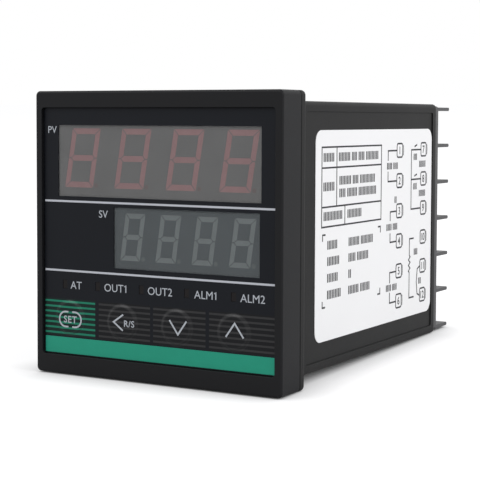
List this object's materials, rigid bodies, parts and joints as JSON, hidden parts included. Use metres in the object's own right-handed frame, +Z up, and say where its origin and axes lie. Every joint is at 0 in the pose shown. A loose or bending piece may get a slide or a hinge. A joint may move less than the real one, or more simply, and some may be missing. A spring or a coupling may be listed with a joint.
{
  "type": "temperature controller",
  "caption": "Square panel-mount temperature controller: framed front with digital displays and domed film keys, draw-out chassis, and a finned rear terminal block.",
  "frame": {"origin": "centre of the plane where the back of the front flange meets the panel", "axes": "+X to the right as seen from the front, +Y to the rear through the panel, +Z up"},
  "size_m": [0.072, 0.1097, 0.072],
  "materials": {
    "bezel_plastic": "fine spark-eroded texture",
    "case_plastic": "fine spark-eroded texture",
    "block_plastic": "satin",
    "film_black": "satin polycarbonate film",
    "print_silver": "silver ink",
    "print_green": "green ink",
    "window_smoke": "smoked, polished",
    "display_grey": "moulded reflector",
    "segment_red": "cast resin",
    "segment_grey": "cast resin",
    "lamp_resin": "cast resin",
    "black_plastic": "moulded",
    "white_plastic": "moulded",
    "board_green": "solder mask on glass laminate",
    "contact_metal": "nickel-plated brass strip",
    "screw_steel": "zinc-plated steel",
    "relay_blue": "moulded cover",
    "ferrite": "sintered ferrite",
    "winding_tape": "polyester tape",
    "capacitor_sleeve": "shrink sleeve on aluminium can",
    "varistor_epoxy": "dipped epoxy",
    "can_metal": "drawn can",
    "label_white": "printed polyester label"
  },
  "bodies": {
    "case": {"case": "case_plastic", "terminal_block": "block_plastic", "side_label": "label_white", "terminal_screws": "screw_steel", "contact_1": "contact_metal", "contact_2": "contact_metal", "contact_3": "contact_metal", "contact_4": "contact_metal", "contact_5": "contact_metal", "contact_6": "contact_metal", "contact_7": "contact_metal", "contact_8": "contact_metal", "contact_9": "contact_metal", "contact_10": "contact_metal", "contact_11": "contact_metal", "contact_12": "contact_metal"},
    "chassis": {"front_bezel": "bezel_plastic", "front_film": "film_black", "silver_lines": "print_silver", "green_band": "print_green", "pv_window": "window_smoke", "sv_window": "window_smoke", "pv_display": "display_grey", "pv_segments": "segment_red", "sv_display": "display_grey", "sv_segments": "segment_grey", "lamp_spacer": "black_plastic", "display_board": "board_green", "power_board": "board_green", "input_board": "board_green", "power_header": "black_plastic", "input_header": "black_plastic", "relay_alarm": "relay_blue", "relay_output": "relay_blue", "transformer_core": "ferrite", "transformer_bobbin": "winding_tape", "bulk_capacitor": "capacitor_sleeve", "output_capacitor": "capacitor_sleeve", "rectifier": "black_plastic", "varistor": "varistor_epoxy", "microcontroller": "black_plastic", "isolator": "black_plastic", "crystal": "can_metal", "lamp_at": "lamp_resin", "lamp_out1": "lamp_resin", "lamp_out2": "lamp_resin", "lamp_alm1": "lamp_resin", "lamp_alm2": "lamp_resin", "set_switch": "black_plastic", "shift_switch": "black_plastic", "down_switch": "black_plastic", "up_switch": "black_plastic"},
    "set_key": {"set_button": "white_plastic", "set_plunger": "white_plastic"},
    "shift_key": {"shift_button": "white_plastic", "shift_plunger": "white_plastic"},
    "down_key": {"down_button": "white_plastic", "down_plunger": "white_plastic"},
    "up_key": {"up_button": "white_plastic", "up_plunger": "white_plastic"}
  },
  "joints": [
    {"name": "chassis_slide", "type": "slide", "parent": "case", "child": "chassis", "axis": [0, -1, 0], "range_m": [0, 0.08]},
    {"name": "set_press", "type": "slide", "parent": "chassis", "child": "set_key", "axis": [0, 1, 0], "range_m": [0, 0.0003], "stiffness_N_per_m": 4000},
    {"name": "shift_press", "type": "slide", "parent": "chassis", "child": "shift_key", "axis": [0, 1, 0], "range_m": [0, 0.0003], "stiffness_N_per_m": 4000},
    {"name": "down_press", "type": "slide", "parent": "chassis", "child": "down_key", "axis": [0, 1, 0], "range_m": [0, 0.0003], "stiffness_N_per_m": 4000},
    {"name": "up_press", "type": "slide", "parent": "chassis", "child": "up_key", "axis": [0, 1, 0], "range_m": [0, 0.0003], "stiffness_N_per_m": 4000}
  ]
}
